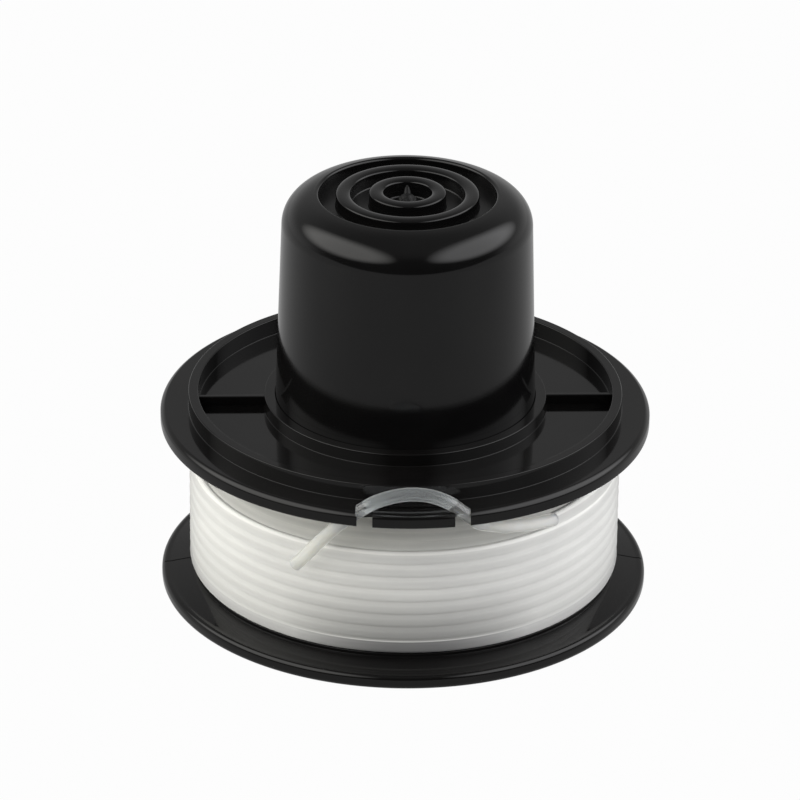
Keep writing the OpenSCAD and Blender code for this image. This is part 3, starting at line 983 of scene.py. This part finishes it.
def spoolOutline(v):
    edge = v["wallEdge"]
    foot = v["foot"]
    fine = v["fineEdge"]
    outer = v["flange"]
    lipIn = outer - v["rimLipWide"]
    lipLow = v["topLow"] - v["rimLip"]
    lower = [
        (v["bore"], 0, v["footEdge"]), (v["reliefIn"], 0, edge), (v["reliefIn"], v["reliefDeep"], foot),
        (v["reliefOut"], v["reliefDeep"], foot), (v["reliefOut"], 0, edge), (outer, 0, v["edge"]),
        (outer, v["lowThick"], v["edge"]), (v["dishOut"], v["lowThick"], v["dishBend"]),
        (v["seat"], v["seatFoot"], v["seatBend"]), (v["seat"], v["seatTop"], foot),
        (v["drum"], v["seatTop"], foot), (v["drum"], v["topLow"], foot),
        (lipIn - v["footEdge"], v["topLow"], fine), (lipIn, lipLow, v["lipEdge"]),
        (outer, lipLow, v["footEdge"]), (outer, v["top"])]
    outline = [tuple(p) for p in roundOutline(lower)][:-1]
    outline += chamferArc((outer, v["top"] - v["rimDrop"]), (v["rimIn"], v["top"]), *v["rimCurve"], 10)
    outline.append((v["rimIn"] - v["guard"], v["top"]))
    upper = [
        (v["rimIn"], v["top"]), (v["wallOut"], v["top"], foot), (v["wallOut"], v["wallTop"], edge),
        (v["wallIn"], v["wallTop"], edge), (v["wallIn"], v["top"], foot), (v["collar"], v["top"], foot),
        (v["collar"], v["collarTop"], edge), (v["guide"], v["collarTop"], fine),
        (v["guide"], v["lipLow"], fine), (v["bore"], v["lipLow"], fine), (v["bore"], 0)]
    return outline + [tuple(p) for p in roundOutline(upper)][1:-1]


def cutSpool(body, v):
    outer = v["flange"] + 1
    low = v["topLow"] - v["rimLip"] - 1
    high = v["top"] + 1
    half, deep = v["seam"]
    cuts = [blockPart((side * v["notchNear"], -outer, low), (side * v["notchFar"], v["notchBack"], high))
            for side in (-1, 1)]
    floor = v["lowThick"] - deep
    cuts += [blockPart((side * v["seat"], -half, floor), (side * outer, half, v["seamTop"]))
             for side in (-1, 1)]
    cutAway(body, cuts)
    between = v["notchNear"] + 0.4
    cutAway(body, [blockPart((-between, -outer, v["tabTop"] - v["tabThick"]),
                             (between, v["notchBack"] + 0.02, high))])


def makeSpool(v):
    sink = v["sink"]
    half = sink / 2
    body = lathe("spoolShell", spoolOutline(v), v["steps"])
    cutSpool(body, v)
    low, high = v["web"]
    web = lathe("web", roundOutline([
        (v["journal"], low, v["foot"]), (v["bore"] + sink, low), (v["bore"] + sink, high),
        (v["journal"], high, v["foot"])]), v["webSteps"])
    tab = meshPiece("tab", *tabPart(v))
    ribs = [meshPiece("rib", *roundedBar(side * (v["collar"] - sink), side * (v["wallIn"] + sink),
                                         v["rib"], v["top"] - sink, v["ribTop"], v["ribEdge"]))
            for side in (-1, 1)]
    keyHalf = v["keyWide"] / 2
    keys = repeatPart("keys", blockPart((v["guide"], -keyHalf, high - half),
                                        (v["bore"] + sink, keyHalf, v["lipLow"] + half)),
                      v["keys"], v["keyAngle"], spoolPlastic)
    ribHalf = v["reliefRib"] / 2
    relief = repeatPart("relief", blockPart((v["reliefIn"] - half, -ribHalf, 0.01),
                                            (v["reliefOut"] + half, ribHalf, v["reliefDeep"] + half)),
                        v["reliefRibs"], 180 / v["reliefRibs"], spoolPlastic)
    spool = joinPieces("spool", [body, web, tab, *ribs, keys, relief])
    spool.data.set_sharp_from_angle(angle=math.radians(v["sharp"]))
    dress(spool, spoolPlastic, "spool_plastic", "spool", "spool_body")


makeSpool(spoolValues)
print("spool made")


# Knob

knobValues = {
    "foot": 20.05,
    "beadTop": 21.65,
    "bead": 17.0,
    "beadSlope": 0.55,
    "skirt": 16.45,
    "shoulder": 15.7,
    "draftTop": 49.05,
    "shoulderWide": 5.5,
    "shoulderHigh": 4.4,
    "shoulderFull": 1.06,
    "draftLow": 25.95,
    "skirtIn": 14.75,
    "roofIn": 14.0,
    "spigot": 28.05,
    "roof": 49.7,
    "guideOut": 7.68,
    "guideIn": 6.28,
    "guideLow": 38.7,
    "grooveFloor": 51.6,
    "groove": 11.05,
    "rings": [(8.93, 53.6), (4.8, 53.8)],
    "ringWide": 1.81,
    "crown": 0.35,
    "grooveEdge": 0.38,
    "guard": 0.08,
    "lipEnd": 100,         # where the lip's rounding meets the shoulder, in degrees
    "lipBlend": 4.5,
    "grooveFoot": [(0.3, 0), (0.1, 0.03), (0, 0.14)],   # how far off a ring and how high
    "gateBack": 0.45,
    "lump": (1.25, 53.1, 3, 0, 1),        # width, top, fullness, lean and waviness
    "peak": (0.6, 53.72, 1.8, 1.2, 0.3),
    "dents": [(-0.6, 0.1), (0.65, 0.0), (0, -0.5)],
    "dentSpread": 0.14,
    "dentDeep": 0.35,
    "waves": [(0.06, 4, 0.6), (0.02, 7, 2)],   # depth, count round the gate mark and first angle
    "gateSink": 0.2,
    "gateSharp": 50,
    "slotWide": 3.4,
    "slotAngle": 45,
    "slotRise": 0.6,
    "steps": 288,
}


def gateMark(v, sides=48, rows=16):
    # What is left of the moulding gate: a rough lump with a small peak that leans back
    low = v["grooveFloor"] - v["gateSink"]
    parts = []
    for wide, top, power, lean, wavy in (v["lump"], v["peak"]):
        verts = []
        for j in range(rows + 1):
            t = j / rows
            for k in range(sides):
                a = 2 * math.pi * k / sides
                r = wide * math.sqrt(max(0.02, 1 - t ** power))
                r *= 1 + wavy * sum(deep * math.cos(times * a + first)
                                    for deep, times, first in v["waves"])
                x = r * math.cos(a)
                y = r * math.sin(a) + v["gateBack"] + lean * t * t
                dent = sum(math.exp(-((x - dx) ** 2 + (y - dy) ** 2) / v["dentSpread"])
                           for dx, dy in v["dents"])
                verts.append((x, y, low + (top - low) * t - v["dentDeep"] * dent * wavy * t))
        parts.append((verts, ringFaces(rows + 1, sides)))
    return meshPiece("gateMark", *joinParts(parts), v["gateSharp"])


def makeKnob(v):
    dome = v["shoulder"] - v["shoulderWide"]
    lipAngle = math.degrees(math.acos((v["groove"] - dome) / v["shoulderWide"]))
    rimHigh = v["draftTop"] + v["shoulderHigh"] * math.sin(math.radians(lipAngle))
    outline = [(v["skirtIn"], v["foot"]), (v["skirtIn"], v["spigot"]), (v["roofIn"], v["roof"]),
               (v["guideOut"], v["roof"]), (v["guideOut"], v["guideLow"]), (v["guideIn"], v["guideLow"]),
               (v["guideIn"], v["roof"]), (0, v["roof"]), (0, v["grooveFloor"])]
    for out, high in reversed(v["rings"]):
        half = v["ringWide"] / 2
        inner = out - v["ringWide"]
        outline += [(inner - off, v["grooveFloor"] + up) for off, up in v["grooveFoot"]]
        outline += ellipseArc((out - half, high - v["crown"]), half, v["crown"], 180, 0, 14)
        outline += [(out + off, v["grooveFloor"] + up) for off, up in reversed(v["grooveFoot"])]
    edge = v["grooveEdge"]
    outline += [(v["groove"], v["grooveFloor"]), (v["groove"], rimHigh - edge - v["guard"])]
    outline += ellipseArc((v["groove"] + edge, rimHigh - edge), edge, edge, 180, v["lipEnd"], 10)
    outline += ellipseArc((dome, v["draftTop"]), v["shoulderWide"], v["shoulderHigh"],
                          lipAngle - v["lipBlend"], 0, 32, v["shoulderFull"])
    outline += [(v["shoulder"] + 0.002, v["draftTop"] - 0.1), (v["skirt"], v["draftLow"]),
                (v["skirt"], v["beadTop"]), (v["bead"], v["beadTop"]),
                (v["bead"], v["foot"] + v["beadSlope"]), (v["skirt"], v["foot"])]
    knob = lathe("knob", outline, v["steps"])
    half = v["slotWide"] / 2
    top = v["beadTop"] + v["slotRise"]
    cuts = [blockPart((v["skirt"], -half, v["foot"] - 1), (v["bead"] + 1, half, top),
                      v["slotAngle"] + 90 * i) for i in range(4)]
    cutAway(knob, cuts)
    dress(knob, knobPlastic, "knob_plastic", "knob", "bump_knob")
    dress(gateMark(v), gatePlastic, "knob_plastic", "knob")


makeKnob(knobValues)
print("knob made")


# Spring

springValues = {
    "radius": 9.2,
    "wire": 1.3,
    "low": 14.1,
    "high": 48.5,
    "turns": 8,
    "stepsPerTurn": 48,
    "sides": 16,
    "seat": 13.4,
    "freeTop": 49.2,
    "stroke": 5.0,
}


def makeSpring(v):
    spring = windWire("spring", woundWire, {
        "Turns": float(v["turns"]),
        "Steps": v["turns"] * v["stepsPerTurn"] + 1,
        "Sides": v["sides"],
        "Coil radius": v["radius"] * mm,
        "Wire radius": v["wire"] / 2 * mm,
        "First height": v["low"] * mm,
        "Rise per turn": (v["high"] - v["low"]) / v["turns"] * mm,
        "First angle": 0.0,
        "Angle per turn": 2 * math.pi,
        "Climb share": 0.5,
        "Steady climb": 1.0,
    }, springSteel)
    dress(spring, springSteel, "spring_steel", "hub", "bump_spring")
    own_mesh(spring)


makeSpring(springValues)


# Inner parts keep their own shape and get a finish

innerFinish = {
    "index_sleeve": innerPlastic,
    "drive_hub": innerPlastic,
    "spindle_bush": bushBrass,
    "retaining_ring": springSteel,
    "thrust_washer": springSteel,
    "lower_spring_seat": springSteel,
    "upper_spring_seat": springSteel,
}
for node, material in innerFinish.items():
    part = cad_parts[node]
    part.data.materials.clear()
    part.data.materials.append(material)
print("inner parts finished")


# Floor, light and background, with their sizes in metres

studioValues = {
    "floor": (-0.7, -0.18, 0.7, 1.5),
    "floorColor": 0.06,
    "floorWhite": 0.98,    # share of plain white that the camera sees on the floor
    "floorGloss": 0.5,     # the same for what shines
    "worldWhite": 0.984,   # the same beyond the floor
    "hole": 0.028,         # lets light reach the underside, and the reel covers it
    "boxLeft": (-69, (1.0, 0.99, 0.96)),
    "boxRight": (78, (0.99, 0.99, 1.0)),
    "boxRise": 40,
    "boxAway": 0.8,
    "boxWide": 1.8,
    "boxHigh": 0.85,
    "boxPower": 9.6,
    "boxPeak": 0.5,        # where up the box it is brightest
    "boxFull": 0.22,
    "boxFade": 0.56,
    "boxMiddle": 1.13,
    "fillLeft": (-63, 0.09, (1.0, 0.995, 0.95)),   # two lamps light the line from its sides
    "fillRight": (58, 0.074, (0.99, 0.99, 1.0)),
    "fillRise": 4,
    "fillAway": 0.14,
    "fillWide": 0.08,
    "aimHigh": 0.025,
    "horizon": 0.62,
    "horizonReach": (0.03, 0.38),
    "horizonSide": (-0.25, 0.35),
    "back": 0.37,
    "front": 0.04,
    "frontReach": (-0.5, 0.5),
    "above": 0.22,
    "aboveReach": (0.5, 0.95),
}


def floorMaterial(v):
    material = bpy.data.materials.new("floor")
    material.use_nodes = True
    tree = material.node_tree
    tree.nodes.clear()
    matte = addNode(tree, "ShaderNodeBsdfDiffuse", {"Color": (*[v["floorColor"]] * 3, 1)})
    white = addNode(tree, "ShaderNodeEmission", {"Color": (1, 1, 1, 1), "Strength": 1.0})
    path = addNode(tree, "ShaderNodeLightPath").outputs
    seen = calc(tree, "MAXIMUM", path["Is Camera Ray"], path["Is Transmission Ray"])
    plain = calc(tree, "MULTIPLY", seen, v["floorWhite"])
    gloss = calc(tree, "MULTIPLY", path["Is Glossy Ray"], v["floorGloss"])
    share = calc(tree, "MAXIMUM", plain, gloss)
    top = addNode(tree, "ShaderNodeMixShader", {0: share, 1: matte.outputs[0], 2: white.outputs[0]})
    back = addNode(tree, "ShaderNodeNewGeometry").outputs["Backfacing"]
    place = addNode(tree, "ShaderNodeTexCoord").outputs["Object"]
    hole = calc(tree, "LESS_THAN", vectorCalc(tree, "LENGTH", place), v["hole"])
    gone = calc(tree, "MAXIMUM", hole, back)
    clear = addNode(tree, "ShaderNodeBsdfTransparent")
    both = addNode(tree, "ShaderNodeMixShader", {0: gone, 1: top.outputs[0], 2: clear.outputs[0]})
    addNode(tree, "ShaderNodeOutputMaterial", {"Surface": both.outputs[0]})
    return material


def makeWorld(v):
    world = bpy.data.worlds.new("studio")
    scene.world = world
    world.use_nodes = True
    tree = world.node_tree
    tree.nodes.clear()
    way = addNode(tree, "ShaderNodeTexCoord").outputs["Generated"]
    parts = addNode(tree, "ShaderNodeSeparateXYZ", {"Vector": way}).outputs
    smooth = "SMOOTHSTEP"
    behind = spread(tree, parts["Y"], v["front"], v["back"], *v["frontReach"], smooth)
    side = spread(tree, parts["Y"], 0, 1, *v["horizonSide"], smooth)
    near = spread(tree, parts["Z"], 1, 0, *v["horizonReach"], smooth)
    high = spread(tree, parts["Z"], 0, 1, *v["aboveReach"], smooth)
    path = addNode(tree, "ShaderNodeLightPath").outputs
    seen = calc(tree, "MAXIMUM", path["Is Camera Ray"], path["Is Transmission Ray"])
    level = behind
    for share, value in ((high, v["above"]), (calc(tree, "MULTIPLY", side, near), v["horizon"]),
                         (seen, v["worldWhite"])):
        mixed = addNode(tree, "ShaderNodeMix", {0: share, 2: level, 3: value}, data_type="FLOAT")
        level = mixed.outputs[0]
    light = addNode(tree, "ShaderNodeBackground", {"Color": (1, 1, 1, 1), "Strength": level})
    addNode(tree, "ShaderNodeOutputWorld", {"Surface": light.outputs[0]})


def addLamp(name, turn, rise, away, wide, high, power, color):
    rise = math.radians(rise)
    angle = math.radians(turn) + math.radians(-cameraValues["turn"])
    way = Vector((math.sin(angle) * math.cos(rise), -math.cos(angle) * math.cos(rise), math.sin(rise)))
    data = bpy.data.lights.new(name, "AREA")
    data.shape = "ELLIPSE"
    data.size = wide
    data.size_y = high
    data.energy = power
    data.color = color
    lamp = bpy.data.objects.new(name, data)
    lamp.location = way * away + Vector((0, 0, studioValues["aimHigh"]))
    lamp.rotation_mode = "QUATERNION"
    lamp.rotation_quaternion = way.to_track_quat("Z", "Y")
    scene.collection.objects.link(lamp)
    return lamp


def softenBox(lamp, v):
    # A softbox is brightest in its middle
    data = lamp.data
    data.use_nodes = True
    tree = data.node_tree
    tree.nodes.clear()
    spot = addNode(tree, "ShaderNodeNewGeometry").outputs["Parametric"]
    off = vectorCalc(tree, "DISTANCE", spot, (0.5, v["boxPeak"], 0))
    level = spread(tree, off, v["boxMiddle"], 0.0, v["boxFull"], v["boxFade"], "SMOOTHSTEP")
    light = addNode(tree, "ShaderNodeEmission", {"Color": (1, 1, 1, 1), "Strength": level})
    addNode(tree, "ShaderNodeOutputLight", {"Surface": light.outputs[0]})


def makeStudio(v):
    left, front, right, back = v["floor"]
    mesh = bpy.data.meshes.new("floor")
    corners = [(left, front, 0), (right, front, 0), (right, back, 0), (left, back, 0)]
    mesh.from_pydata(corners, [], [(0, 1, 2, 3)])
    floor = addObject("floor", mesh)
    mesh.materials.append(floorMaterial(v))
    makeWorld(v)
    for name in ("boxLeft", "boxRight"):
        turn, color = v[name]
        box = addLamp(name, turn, v["boxRise"], v["boxAway"], v["boxWide"], v["boxHigh"], v["boxPower"],
                      color)
        softenBox(box, v)
    for name in ("fillLeft", "fillRight"):
        turn, power, color = v[name]
        fill = addLamp(name, turn, v["fillRise"], v["fillAway"], v["fillWide"], v["fillWide"], power, color)
        fill.visible_glossy = False


makeStudio(studioValues)
scene.view_settings.view_transform = "Standard"
print("studio lit")
